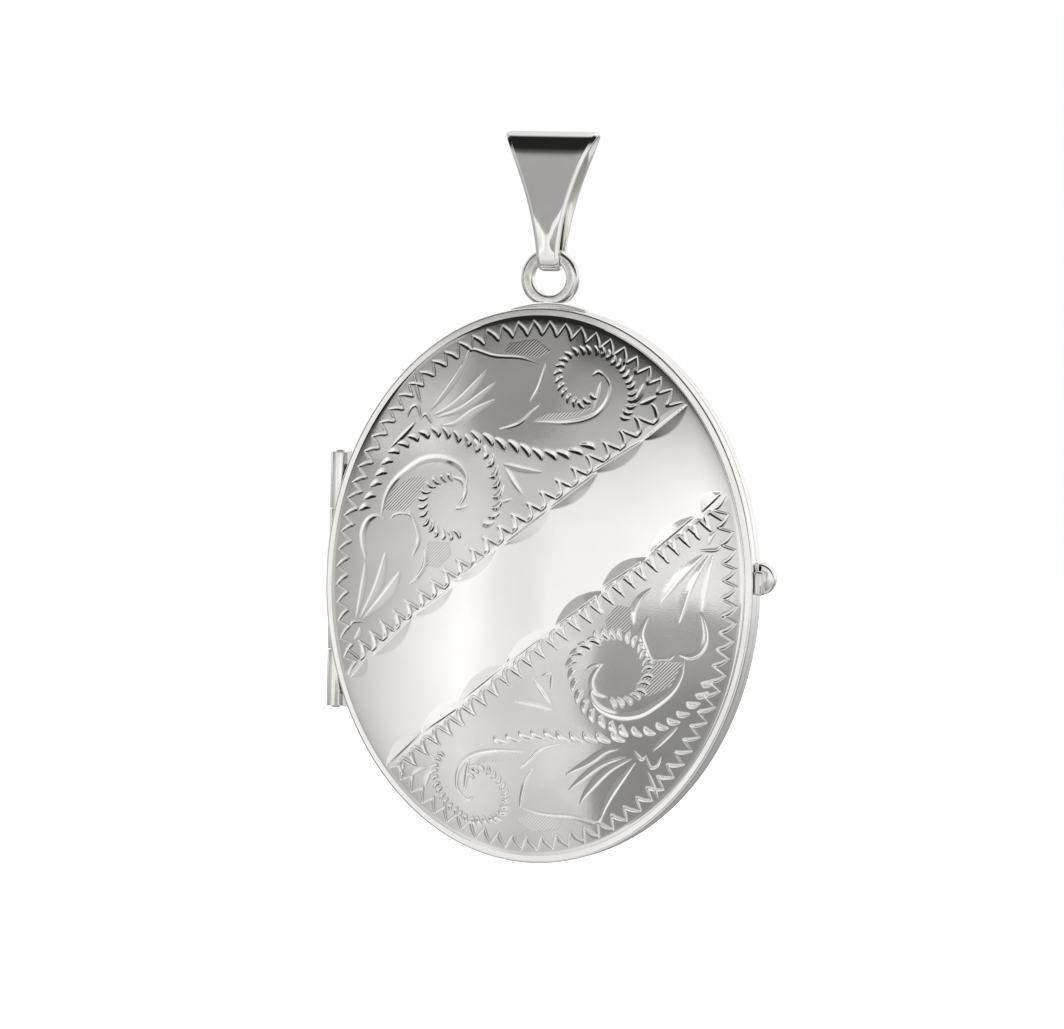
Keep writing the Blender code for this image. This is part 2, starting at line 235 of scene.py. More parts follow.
def loft(name, rings, closed):
    """A closed mesh through rings of points, joined end to end or capped."""
    count, size = len(rings), len(rings[0])
    faces = []
    for i in range(count if closed else count - 1):
        a, b = i * size, (i + 1) % count * size
        for j in range(size):
            k = (j + 1) % size
            faces.append((a + j, b + j, b + k, a + k))
    if not closed:
        faces.append(tuple(range(size))[::-1])
        faces.append(tuple(range((count - 1) * size, count * size)))
    mesh = mesh_from(name, np.concatenate(rings), faces)
    outward(mesh)
    return mesh


def oval_angles(steps):
    return np.linspace(0, 2 * math.pi, steps, endpoint=False)


def oval_points(angles, inset):
    """(x, z) from the body's centre, moved in from the case's outline along its normal."""
    normal = np.stack([np.cos(angles) * B, np.sin(angles) * A], 1)
    normal /= np.linalg.norm(normal, axis=1, keepdims=True)
    return np.stack([np.cos(angles) * A, np.sin(angles) * B], 1) - normal * inset


def half_side(half):
    return -1 if half == "front" else 1


def in_place(flat, heights, half):
    """Points in a half's plane, at heights out from the seam, in world millimetres."""
    y = SEAM_Y + half_side(half) * np.broadcast_to(heights, len(flat))
    return np.stack([CENTRE_X + flat[:, 0], y, CENTRE_Z + flat[:, 1]], 1)


def swept(name, half, section, angles, closed=True):
    """A section of (inset, height) points swept round the oval."""
    rings = [in_place(oval_points(angles, inset), height, half) for inset, height in section]
    rings = np.stack(rings, 1)
    return loft(name, list(rings), closed)


def rounded(points, radii, steps=5):
    """A polygon with each corner rounded by its own radius."""
    points = np.array(points, float)
    made = []
    for i, radius in enumerate(radii):
        here, before, after = points[i], points[i - 1], points[(i + 1) % len(points)]
        if radius == 0:
            made.append(here)
            continue
        back = (before - here) / np.linalg.norm(before - here)
        ahead = (after - here) / np.linalg.norm(after - here)
        half_angle = math.acos(np.clip(back @ ahead, -1, 1)) / 2
        reach = radius / math.tan(half_angle)
        inward = (back + ahead) / np.linalg.norm(back + ahead)
        middle = here + inward * radius / math.sin(half_angle)
        start, end = here + back * reach - middle, here + ahead * reach - middle
        for share in np.linspace(0, 1, steps + 1):
            arm = start * (1 - share) + end * share
            made.append(middle + arm / np.linalg.norm(arm) * radius)
    return np.array(made)


def band(insets, heights, radius):
    """A rectangular (inset, height) section with rounded corners."""
    corners = [
        (insets[0], heights[0]),
        (insets[0], heights[1]),
        (insets[1], heights[1]),
        (insets[1], heights[0]),
    ]
    return rounded(corners, [radius] * 4, 2)


def turned(name, profile, steps, to_world):
    """A closed (radius, height) profile turned about an axis, and placed by a function."""
    rings = []
    for t in oval_angles(steps):
        ring = np.stack([profile[:, 0] * np.cos(t), profile[:, 0] * np.sin(t), profile[:, 1]], 1)
        rings.append(to_world(ring))
    return loft(name, rings, True)


def notched(mesh):
    """Cuts the trough for the hinge's knuckles out of a rim or a seat."""
    bpy.ops.mesh.primitive_cylinder_add(
        vertices=96,
        radius=NOTCH_RADIUS * MM,
        depth=(2 * HINGE_HALF + 0.26) * MM,
        location=(HINGE_X * MM, SEAM_Y * MM, CENTRE_Z * MM),
    )
    cutter = bpy.context.object
    holder = link("notch_holder", mesh)
    modifier = holder.modifiers.new("notch", "BOOLEAN")
    modifier.object = cutter
    modifier.operation = "DIFFERENCE"
    bpy.context.view_layer.update()
    graph = bpy.context.evaluated_depsgraph_get()
    made = bpy.data.meshes.new_from_object(holder.evaluated_get(graph))
    bpy.data.objects.remove(holder)
    bpy.data.objects.remove(cutter)
    return made


def prism(name, outline, low, high, radius):
    """An outline of (x, z) points, from world y low to high, with its edges rounded."""
    count = len(outline)
    points = [(x, y, z) for y in (low, high) for x, z in outline]
    faces = [(i, (i + 1) % count, count + (i + 1) % count, count + i) for i in range(count)]
    faces += [tuple(range(count))[::-1], tuple(range(count, 2 * count))]
    mesh = mesh_from(name, points, faces)
    work = bmesh.new()
    work.from_mesh(mesh)
    bmesh.ops.recalc_face_normals(work, faces=work.faces)
    edges = [e for e in work.edges if e.calc_face_angle() > math.radians(40)]
    bmesh.ops.bevel(
        work, geom=edges, offset=radius * MM, segments=4, profile=0.5, affect="EDGES"
    )
    work.to_mesh(mesh)
    work.free()
    return mesh


# The engraving. Strokes are (x, z) from the body's centre in the upper left area; the lower right
# area is the same design turned half round.


def smooth_line(points, spacing=0.07):
    """Points close together on a curve through the given ones."""
    points = np.array(points, float)
    padded = np.vstack([2 * points[0] - points[1], points, 2 * points[-1] - points[-2]])
    made = []
    for p, q, r, s in zip(padded, padded[1:], padded[2:], padded[3:]):
        steps = max(2, int(np.linalg.norm(r - q) / spacing))
        t = np.linspace(0, 1, steps, endpoint=False)[:, None]
        straight = 2 * q + (r - p) * t
        bend = (2 * p - 5 * q + 4 * r - s) * t**2 + (3 * q - p - 3 * r + s) * t**3
        made.append((straight + bend) / 2)
    made.append(points[-1:])
    return np.vstack(made)


DEEPEST_CUT = 0.095
CUT_SLOPE = 0.36


class Engraving:
    """Depth of the graver's cuts at each point of the cover."""

    def __init__(self, x, z):
        self.points = np.stack([x, z], 1)
        self.depth = np.zeros(len(x))
        self.hatch = np.zeros(len(x))

    def near(self, low, high):
        x, z = self.points[:, 0], self.points[:, 1]
        return np.nonzero((x > low[0]) & (x < high[0]) & (z > low[1]) & (z < high[1]))[0]

    def cut(self, points, width, lean=0.0, peak=0.5, blunt=0.1, depth=None):
        """One stroke. Its line is its deepest part, and lean 1 spreads it only to its left."""
        line = smooth_line(points)
        near = self.near(line.min(0) - width, line.max(0) + width)
        if not len(near):
            return
        start, run = line[:-1], np.diff(line, axis=0)
        length = np.linalg.norm(run, axis=1)
        offset = self.points[near][:, None, :] - start
        share = np.clip((offset * run).sum(2) / length**2, 0, 1)
        gap = offset - share[:, :, None] * run
        distance = np.linalg.norm(gap, axis=2)
        best = distance.argmin(1)
        rows = np.arange(len(near))
        turn = run[best, 0] * offset[rows, best, 1] - run[best, 1] * offset[rows, best, 0]
        before = np.concatenate([[0], np.cumsum(length)])
        along = (before[best] + share[rows, best] * length[best]) / before[-1]
        swell = np.minimum(along / peak, (1 - along) / (1 - peak)).clip(0, 1)
        swell = blunt + (1 - blunt) * np.sin(swell * math.pi / 2) ** 0.8
        reach = np.where(turn > 0, (1 + lean) / 2, (1 - lean) / 2).clip(0.07, 1) * width * swell
        full = min(DEEPEST_CUT, CUT_SLOPE * width) if depth is None else depth
        value = full * swell**0.6 * (1 - distance[rows, best] / reach).clip(0, 1)
        self.depth[near] = np.maximum(self.depth[near], value)

    def hatch_patch(self, corners):
        """Marks a polygon that is filled with fine parallel lines."""
        corners = np.array(corners, float)
        near = self.near(corners.min(0), corners.max(0))
        x, z = self.points[near].T
        inside = np.zeros(len(near), bool)
        for (ax, az), (bx, bz) in zip(corners, np.roll(corners, -1, 0)):
            crosses = (az > z) != (bz > z)
            at = (bx - ax) * (z - az) / (bz - az if bz != az else 1e-9) + ax
            inside ^= crosses & (x < at)
        self.hatch[near[inside]] = 1


# (points, greatest width, lean, where the stroke is widest)
LEAF_CUTS = [
    ([(-13.2, -2.7), (-12.8, -0.5), (-12.5, 1.4)], 0.55, -0.6, 0.6),
    ([(-12.9, -2.7), (-11.7, -0.3), (-10.9, 2.2)], 0.75, -0.7, 0.6),
    ([(-12.6, -2.7), (-10.9, -0.8), (-9.7, 0.8)], 0.9, -0.6, 0.65),
    ([(-13.7, -3.4), (-13.3, -2.95), (-12.1, -2.9)], 0.28, 0.0, 0.4),
    ([(-13.3, -4.3), (-13.0, -3.8), (-12.8, -3.3)], 0.4, -0.5, 0.5),
    ([(-7.9, 12.3), (-6.8, 13.8), (-6.0, 15.0), (-5.1, 16.7)], 0.55, -0.5, 0.5),
    ([(-7.7, 12.0), (-6.0, 13.0), (-4.5, 14.5), (-3.8, 15.4)], 0.6, -0.5, 0.55),
    ([(-7.3, 11.9), (-5.5, 12.6), (-4.0, 13.7), (-3.0, 14.5)], 0.5, -0.5, 0.55),
    ([(-6.9, 11.3), (-5.8, 11.6), (-4.5, 12.5), (-2.85, 13.3)], 0.55, -0.6, 0.5),
    ([(7.2, 13.2), (7.8, 14.6)], 0.5, -0.5, 0.5),
    ([(7.6, 13.2), (8.8, 13.8)], 0.4, -0.5, 0.5),
    ([(-2.05, 8.75), (-0.6, 8.45), (0.9, 8.2)], 0.5, -0.4, 0.4),
    ([(-1.9, 8.4), (-1.2, 7.3), (-0.5, 6.5)], 0.4, 0.4, 0.4),
    ([(-1.95, 7.3), (-2.0, 6.2)], 0.22, 0.0, 0.5),
    ([(-2.0, 6.0), (-1.2, 6.3)], 0.2, 0.0, 0.5),
    ([(-10.9, 9.6), (-9.9, 10.6), (-9.0, 11.5)], 0.5, -0.3, 0.5),
    ([(-9.4, 15.0), (-8.9, 13.5), (-8.6, 12.8)], 0.3, 0.0, 0.5),
    ([(-9.65, 11.8), (-9.4, 12.5), (-8.9, 12.65), (-8.5, 11.7)], 0.26, 0.0, 0.5),
    ([(-8.55, 11.8), (-8.2, 12.1), (-7.6, 11.4)], 0.26, 0.0, 0.5),
]
CURVED_CUTS = [
    (
        [(-12.45, 1.5), (-12.75, 2.5), (-12.8, 3.5), (-12.4, 4.35), (-11.7, 4.7), (-11.0, 4.5)],
        0.5, -0.2, 0.5,
    ),
    (
        [(-10.6, 4.5), (-10.2, 4.85), (-9.5, 4.95), (-9.0, 4.85), (-8.7, 4.3), (-8.5, 3.5)],
        0.22, 0.0, 0.4,
    ),
    ([(-9.1, 5.2), (-8.5, 3.8), (-8.35, 3.0), (-8.75, 1.9)], 0.42, 0.3, 0.5),
    ([(-7.75, 2.4), (-7.85, 1.3), (-8.3, 0.5), (-8.9, -0.1)], 0.45, 0.5, 0.45),
    (
        [(-11.3, 4.8), (-11.1, 6.0), (-10.5, 7.1), (-9.5, 8.0), (-8.2, 8.8), (-6.8, 9.0),
         (-5.5, 8.6), (-4.8, 7.8), (-4.75, 7.0)],
        0.65, -0.1, 0.6,
    ),
    ([(-5.9, 7.7), (-5.1, 7.4), (-4.85, 6.6), (-5.2, 5.8), (-5.65, 5.3)], 0.36, 0.0, 0.45),
    ([(-5.5, 5.4), (-4.5, 5.7)], 0.24, -0.5, 0.5),
    (
        [(-5.75, 15.5), (-5.4, 16.2), (-4.9, 16.8), (-3.2, 16.4), (-1.2, 16.3), (0.4, 15.9)],
        0.22, 0.0, 0.5,
    ),
    ([(0.6, 15.9), (0.5, 15.2), (0.2, 14.1), (-0.4, 13.0)], 0.3, 0.0, 0.4),
    ([(0.5, 13.0), (-0.2, 12.4), (-1.1, 11.6), (-2.6, 11.1)], 0.3, 0.3, 0.5),
    ([(4.75, 14.7), (4.6, 13.9), (4.35, 12.5)], 0.32, 0.0, 0.4),
    ([(4.1, 15.2), (4.5, 15.45), (4.9, 15.2)], 0.24, 0.0, 0.5),
    ([(0.0, 11.8), (2.5, 11.8), (4.3, 12.3), (5.2, 13.3), (5.4, 14.5), (4.9, 15.3)], 0.4, 0.0, 0.6),
]
HATCHED = [
    [(-11.2, 5.1), (-10.4, 6.8), (-9.0, 7.5), (-7.9, 7.6), (-8.0, 6.6), (-9.0, 5.6), (-9.3, 5.1)],
    [(-7.6, 1.2), (-7.5, 3.0), (-5.9, 3.0), (-5.7, 2.2), (-6.6, 1.1)],
    [(0.0, 11.9), (1.0, 12.4), (3.0, 12.6), (4.4, 13.0), (3.3, 12.3), (2.0, 12.0)],
    [(-2.5, 16.6), (0.0, 16.3), (0.9, 16.8), (-0.2, 17.6), (-2.2, 17.3)],
]
BIG_ARC = [
    (-12.7, 5.2), (-12.1, 6.4), (-11.4, 7.8), (-10.6, 9.2), (-9.2, 10.2), (-7.5, 10.8),
    (-5.8, 10.6), (-4.3, 10.0), (-3.2, 9.2), (-2.7, 8.0), (-2.4, 6.6), (-2.5, 5.2), (-3.2, 4.3),
]
BRANCH = [(-4.2, 10.6), (-2.4, 10.2), (-1.0, 9.9), (1.0, 9.45), (2.8, 9.6), (4.2, 10.1)]
LOWER_ARC = [
    (-12.9, 6.4), (-12.1, 7.8), (-10.2, 9.4), (-7.9, 10.1), (-5.5, 9.45), (-4.3, 8.2), (-3.4, 5.9),
    (-3.85, 4.5), (-5.2, 3.6),
]
LOWER_BRANCH = [(-6.6, 10.5), (-5.0, 10.55), (-2.9, 10.6), (-1.1, 10.5), (1.5, 10.9), (2.6, 11.3)]
SMALL_SCROLL = [
    (4.3, 13.7), (3.4, 13.1), (2.6, 13.5), (1.9, 14.3), (1.6, 15.4), (2.2, 16.5), (3.4, 16.9),
    (4.6, 16.85), (5.9, 16.0), (6.6, 15.1), (7.0, 14.2), (7.0, 13.0), (6.4, 12.0),
]
SCALLOP_ENDS = [
    ((-13.6, -7.0), (-12.3, -5.6)),
    ((-11.8, -5.3), (-8.75, -2.5)),
    ((-8.6, -2.3), (-5.5, -0.15)),
    ((-5.5, 0.2), (-2.2, 2.7)),
    ((-1.8, 3.0), (1.5, 5.6)),
    ((1.45, 5.65), (4.9, 8.4)),
    ((4.4, 8.3), (8.0, 10.7)),
    ((8.0, 10.7), (10.9, 13.3)),
]
EDGE_START = np.array([-12.9, -5.6])
EDGE_END = np.array([9.6, 12.75])
# Each area's big arc, branch, first turn's centre and radius, and first and last pitch of the teeth
UPPER_AREA = (BIG_ARC, BRANCH, (-6.0, 5.6), 2.1, (1.18, 1.50))
LOWER_AREA = (LOWER_ARC, LOWER_BRANCH, (-6.3, 5.6), 2.5, (0.90, 1.28))
RIM_TEETH_FROM = math.radians(201)
RIM_TEETH_TO = math.radians(43)


def stations(points, first_pitch, last_pitch):
    """Places along a line, with the pitch changing from first to last, and the way on at each."""
    line = smooth_line(points, 0.05)
    lengths = np.concatenate([[0], np.cumsum(np.linalg.norm(np.diff(line, axis=0), axis=1))])
    at, places = 0.0, []
    while at < lengths[-1]:
        spot = np.array([np.interp(at, lengths, line[:, k]) for k in (0, 1)])
        ahead = np.array([np.interp(at + 0.1, lengths, line[:, k]) for k in (0, 1)])
        behind = np.array([np.interp(at - 0.1, lengths, line[:, k]) for k in (0, 1)])
        way = (ahead - behind) / np.linalg.norm(ahead - behind)
        places.append((spot, way))
        at += first_pitch + (last_pitch - first_pitch) * at / lengths[-1]
    return places


def bead_cuts(points, pitches, length, width, tilt):
    """Short strokes across a line, each swelling towards one end."""
    cuts = []
    for spot, way in stations(points, *pitches):
        angle = math.atan2(way[1], way[0]) - math.radians(90 - tilt)
        arm = np.array([math.cos(angle), math.sin(angle)]) * length / 2
        bow = way * width * 0.35
        cuts.append(([spot - arm, spot + bow, spot + arm], width, 0.15, 0.68, 0.3, None))
    return cuts


def scroll_circle(centre, radius, start, end):
    angles = np.radians(np.linspace(start, end, 14))
    x, z = centre
    return [(x + radius * math.cos(t), z + radius * math.sin(t)) for t in angles]


def rim_teeth():
    """The zigzag that follows the rim: a strong leg inward, then a fine one back out."""
    angles = np.linspace(RIM_TEETH_FROM, RIM_TEETH_TO, 900)
    middle = oval_points(angles, 1.42)
    lengths = np.concatenate([[0], np.cumsum(np.linalg.norm(np.diff(middle, axis=0), axis=1))])
    cuts, at = [], 0.0
    while at < lengths[-1] - 1.0:
        pitch = float(np.interp(at, [0, 18, lengths[-1]], [1.32, 1.15, 1.12]))
        spots = [np.interp(at + shift * pitch, lengths, angles) for shift in (0, 0.62, 1.0)]
        outer, following = (oval_points(np.array([t]), 1.0)[0] for t in (spots[0], spots[2]))
        inner = oval_points(np.array([spots[1]]), 1.98)[0]
        bow = (outer + inner) / 2 + (following - outer) * 0.08
        cuts.append(([outer, bow, inner], 0.28, 0.15, 0.82, 0.35, 0.07))
        cuts.append(([inner, following], 0.18, 0.0, 0.4, 0.4, 0.045))
        at += pitch
    return cuts


def edge_teeth(first_pitch, last_pitch):
    """The zigzag beside the plain band: a nearly level leg, a round corner and a steep leg."""
    cuts, at = [], 0.0
    way = EDGE_END - EDGE_START
    total = np.linalg.norm(way)
    way /= total
    before = EDGE_START - way * 1.2
    while at < total:
        foot = EDGE_START + way * at + np.array([way[1], -way[0]]) * 0.15
        top = foot + np.array([-0.12, 1.38])
        cuts.append(([before + np.array([-0.12, 1.38]), foot], 0.26, 0.0, 0.75, 0.4, None))
        steep = [foot, foot + (0.3, 0.4), foot + (0.14, 1.05), top]
        cuts.append((steep, 0.36, 0.3, 0.4, 0.45, None))
        before = foot
        at += first_pitch + (last_pitch - first_pitch) * at / total
    return cuts


def design(arc, branch, centre, radius, pitches):
    """Every cut of one engraved area."""
    cuts = [(*cut, 0.05, 0.045) for cut in LEAF_CUTS]
    cuts += [(*cut, 0.12, 0.055) for cut in CURVED_CUTS]
    cuts += [([start, end], 0.8, -1.0, 0.5, 0.0, 0.08) for start, end in SCALLOP_ENDS]
    cuts += bead_cuts(arc, (0.95, 0.74), 0.84, 0.5, 40)
    cuts += bead_cuts(branch, (0.98, 0.9), 1.05, 0.46, 55)
    cuts += bead_cuts(SMALL_SCROLL, (0.52, 0.46), 0.62, 0.3, 20)
    first_turn = scroll_circle(centre, radius, 88, 300)
    cuts += bead_cuts(first_turn, (0.58, 0.54), 0.75, 0.32, 20)
    return cuts + rim_teeth() + edge_teeth(*pitches)


def engrave(x, z):
    """The cuts of both areas, with the small differences of handwork between them."""
    work = Engraving(x, z)
    for turn, area in ((1, UPPER_AREA), (-1, LOWER_AREA)):
        for points, width, lean, peak, blunt, depth in design(*area):
            shift = RNG.normal(0, 0.03, 2)
            points = [turn * (np.array(p) + shift) for p in points]
            work.cut(points, width * RNG.uniform(0.9, 1.1), lean, peak, blunt, depth)
        for patch in HATCHED:
            work.hatch_patch([(turn * px, turn * pz) for px, pz in patch])
    return work


def ground_share(x, z):
    """1 in the two engraved areas, whose ground is matted, and 0 in the plain band and the edge."""
    way = (EDGE_END - EDGE_START) / np.linalg.norm(EDGE_END - EDGE_START)
    share = 0
    for turn in (1, -1):
        above = (turn * z - EDGE_START[1]) * way[0] - (turn * x - EDGE_START[0]) * way[1]
        share = np.maximum(share, ((above + 0.1) / 0.12).clip(0, 1))
    edge = np.sqrt((x / (A - 0.75)) ** 2 + (z / (B - 0.75)) ** 2)
    return share * ((1 - edge) / 0.008).clip(0, 1)


# The pieces


def cover_height(share):
    """How far the outer side stands from the seam, by the share of the way from its centre out."""
    dome = DOME_HEIGHT * (1 - share**2).clip(0, 1) ** DOME_POWER
    return RIM_DEPTH + SOLDER_GAP + COVER_EDGE + dome


def waviness(x, z, strength):
    """The slight unevenness of hand-polished sheet, fading out to nothing at the edge."""
    height = np.zeros(len(x))
    for _ in range(7):
        heading, phase = RNG.uniform(0, 2 * math.pi, 2)
        number = 2 * math.pi / RNG.uniform(3.5, 9.0)
        height += np.cos((x * math.cos(heading) + z * math.sin(heading)) * number + phase)
    edge = 1 - (x / (A - COVER_INSET)) ** 2 - (z / (B - COVER_INSET)) ** 2
    return height * WAVINESS * strength * (edge * 4).clip(0, 1)


def cover(half, material, grid, engraved):
    """A domed sheet: its outer side on a fine grid, its edge, and a plain inner side."""
    steps = np.linspace(-1, 1, grid + 1)
    u, v = (side.ravel() for side in np.meshgrid(steps, steps))
    disc = np.stack([u * np.sqrt(1 - v**2 / 2), v * np.sqrt(1 - u**2 / 2)], 1)
    flat = disc * (A - COVER_INSET, B - COVER_INSET)
    heights = cover_height(np.linalg.norm(disc, axis=1).clip(0, 1))
    heights = heights + waviness(*flat.T, 1.0)
    work = engrave(*flat.T) if engraved else None
    if engraved:
        heights = heights - work.depth + waviness(*flat.T, 2.5) * ground_share(*flat.T)
    points = [in_place(flat, heights, half)]
    index = np.arange((grid + 1) ** 2).reshape(grid + 1, grid + 1)
    corners = [index[:-1, :-1], index[:-1, 1:], index[1:, 1:], index[1:, :-1]]
    faces = np.stack([c.ravel() for c in corners], 1).tolist()

    border = np.concatenate([index[0, :-1], index[:-1, -1], index[-1, :0:-1], index[:0:-1, 0]])
    size = len(border)
    foot = RIM_DEPTH + SOLDER_GAP
    inner_shares = [0.978, 0.96, 0.93, 0.88, 0.81, 0.72, 0.61, 0.49, 0.36, 0.22, 0.08]
    rings = [(1.0, foot), (inner_shares[0], foot)]
    rings += [(s, float(cover_height(np.array(s))) - COVER_THICKNESS) for s in inner_shares[1:]]
    last = border
    count = len(flat)
    for share, height in rings:
        points.append(in_place(flat[border] * share, height, half))
        ring = np.arange(count, count + size)
        for i in range(size):
            k = (i + 1) % size
            faces.append((int(last[i]), int(ring[i]), int(ring[k]), int(last[k])))
        last = ring
        count += size
    middle = float(cover_height(np.array(0.0))) - COVER_THICKNESS
    points.append(in_place(np.zeros((1, 2)), middle, half))
    faces += [(int(last[i]), count, int(last[(i + 1) % size])) for i in range(size)]
    mesh = mesh_from(half + "_cover", np.concatenate(points), faces)
    if half == "back":
        mesh.flip_normals()
    if engraved:
        ground = np.zeros(count + 1)
        hatch = np.zeros(count + 1)
        bright = 1 - (work.depth / 0.02).clip(0, 1)
        ground[: len(flat)] = ground_share(*flat.T) * bright
        hatch[: len(flat)] = work.hatch * bright
        for name, values in (("ground", ground), ("hatch", hatch)):
            attribute = mesh.attributes.new(name, "FLOAT", "POINT")
            attribute.data.foreach_set("value", values.astype(np.float32))
    return place(mesh, half + "_cover", material, sharp=65)


def rim(half, material):
    low, high = HALF_SEAM, RIM_DEPTH
    corners = [
        (0, low),
        (0, high),
        (FLANGE_WIDTH, high),
        (FLANGE_WIDTH, high - FLANGE_THICKNESS),
        (RIM_WALL, high - FLANGE_THICKNESS),
        (RIM_WALL, low),
    ]
    section = rounded(corners, [0.1, 0.2, 0.04, 0.04, 0.1, 0.06])
    mesh = swept(half + "_rim", half, section, oval_angles(OVAL_STEPS))
    return place(notched(mesh), half + "_rim", material)


def lip(material):
    """The back half's closing lip, with its two ends beside the hinge."""
    turn = math.asin(LIP_GAP_HALF_HEIGHT / (B - 0.75))
    angles = np.linspace(turn - math.pi, math.pi - turn, 420)
    section = band(LIP_INSETS, LIP_HEIGHTS, 0.06)
    place(swept("closing_lip", "back", section, angles, closed=False), "closing_lip", material)


def picture_holder(half, satin, polished, clear, card):
    """A half's frame seat, picture frame, clear window and picture card."""
    angles = oval_angles(OVAL_STEPS)
    seat = swept(half + "_seat", half, band(SEAT_INSETS, SEAT_HEIGHTS, 0.04), angles)
    place(notched(seat), half + "_frame_seat", satin)
    section = rounded(FRAME_CORNERS, FRAME_RADII, 4)
    place(swept(half + "_frame", half, section, angles), half + "_photo_frame", polished)
    sheets = (("window", WINDOW_HEIGHTS, clear), ("photo_card", CARD_HEIGHTS, card))
    for node, (inner, outer), material in sheets:
        edge = ((0.04, inner), (0, inner + 0.03), (0, outer - 0.03), (0.04, outer))
        rings = [
            in_place(oval_points(angles, SHEET_INSET + inset), height, half)
            for inset, height in edge
        ]
        place(loft(half + node, rings, False), f"{half}_{node}", material)


def hinge(polished, pin_material):
    for node in [n for n in frame["nodes"] if n.startswith("hinge_knuckle")]:
        low, high = box_mm(node)
        radius = (high[0] - low[0]) / 2
        corners = [
            (KNUCKLE_BORE, low[2]),
            (radius, low[2]),
            (radius, high[2]),
            (KNUCKLE_BORE, high[2]),
        ]
        profile = rounded(corners, [0.03, KNUCKLE_CHAMFER, KNUCKLE_CHAMFER, 0.03], 4)
        shift = np.array([HINGE_X, SEAM_Y, 0])
        place(turned(node, profile, 72, lambda ring: ring + shift), node, polished)
    low, high = box_mm("hinge_pin")
    radius = (high[0] - low[0]) / 2
    middle = (low + high) / 2
    ends = [(0.02, 0.0), (radius * 0.55, 0.02), (radius * 0.9, 0.06), (radius, 0.12)]
    profile = [(r, low[2] + h) for r, h in ends] + [(r, high[2] - h) for r, h in reversed(ends)]
    rings = []
    for r, height in profile:
        t = oval_angles(48)
        ring = np.stack([middle[0] + r * np.cos(t), middle[1] + r * np.sin(t), 0 * t + height], 1)
        rings.append(ring)
    place(loft("hinge_pin", rings, False), "hinge_pin", pin_material)


def tabs(front_material, back_material):
    low, high = box_mm("front_thumb_tab")
    block = [(low[0], low[2]), (high[0], low[2]), (high[0], high[2]), (low[0], high[2])]
    front = prism("front_tab", block, low[1], high[1], FRONT_TAB_BEVEL)
    place(front, "front_thumb_tab", front_material)
    low, high = box_mm("back_thumb_tab")
    radius = (high[2] - low[2]) / 2
    middle = (high[2] + low[2]) / 2
    arc = np.linspace(-math.pi / 2, math.pi / 2, 33)
    outline = [
        (high[0] - radius + radius * math.cos(t), middle + radius * math.sin(t)) for t in arc
    ]
    outline += [(low[0], high[2]), (low[0], low[2])]
    back = prism("back_tab", outline, low[1], high[1], BACK_TAB_BEVEL)
    place(back, "back_thumb_tab", back_material)


def ring_and_saddle(material):
    low, high = box_mm("loop_ring")
    radius, half = (high[0] - low[0]) / 2, (high[1] - low[1]) / 2
    middle = high[2] - radius
    corners = [(RING_HOLE, -half), (radius, -half), (radius, half), (RING_HOLE, half)]
    profile = rounded(corners, RING_RADII, 8)

    def stand(ring):
        return np.stack([ring[:, 0], ring[:, 2], middle + ring[:, 1].clip(low[2] - middle, 99)], 1)

    place(turned("loop_ring", profile, 144, stand), "loop_ring", material)
    low, high = box_mm("loop_saddle")
    half_width = (high[0] - low[0]) / 2
    rings = []
    for x in np.linspace(-half_width, half_width, 49):
        outline = CENTRE_Z + (B + SOLDER_GAP) * math.sqrt(1 - (x / (A + SOLDER_GAP)) ** 2)
        thick = SADDLE_END + SADDLE_SWELL * (1 - (x / half_width) ** 2)
        corners = [
            (low[1], outline),
            (high[1], outline),
            (high[1], outline + thick),
            (low[1], outline + thick),
        ]
        section = rounded(corners, [0.02, 0.02, 0.05, 0.05], 3)
        rings.append(np.stack([np.full(len(section), x), section[:, 0], section[:, 1]], 1))
    place(loft("loop_saddle", rings, False), "loop_saddle", material)


def bail_path():
    """The bent strip's middle line from the side, as (y, z) about the pivot."""
    fold = BAIL_TOP - BAIL_SHEET / 2 - BAIL_FOLD_HEIGHT - PIVOT_HEIGHT
    bend = np.linspace(math.pi, 2 * math.pi, 37)
    under = [(BAIL_LOOP * math.cos(t), BAIL_LOOP * math.sin(t)) for t in bend]
    leaf = []
    for share in np.linspace(0, 1, 42)[1:-1]:
        depth = BAIL_LOOP + (BAIL_FOLD - BAIL_LOOP) * share
        depth += BAIL_BULGE * math.sin(math.pi * share)
        leaf.append((depth, fold * share))
    arc = np.linspace(0, math.pi, 57)
    over = [(BAIL_FOLD * math.cos(t), fold + BAIL_FOLD_HEIGHT * math.sin(t)) for t in arc]
    return np.array(under + leaf + over + [(-y, z) for y, z in reversed(leaf)])


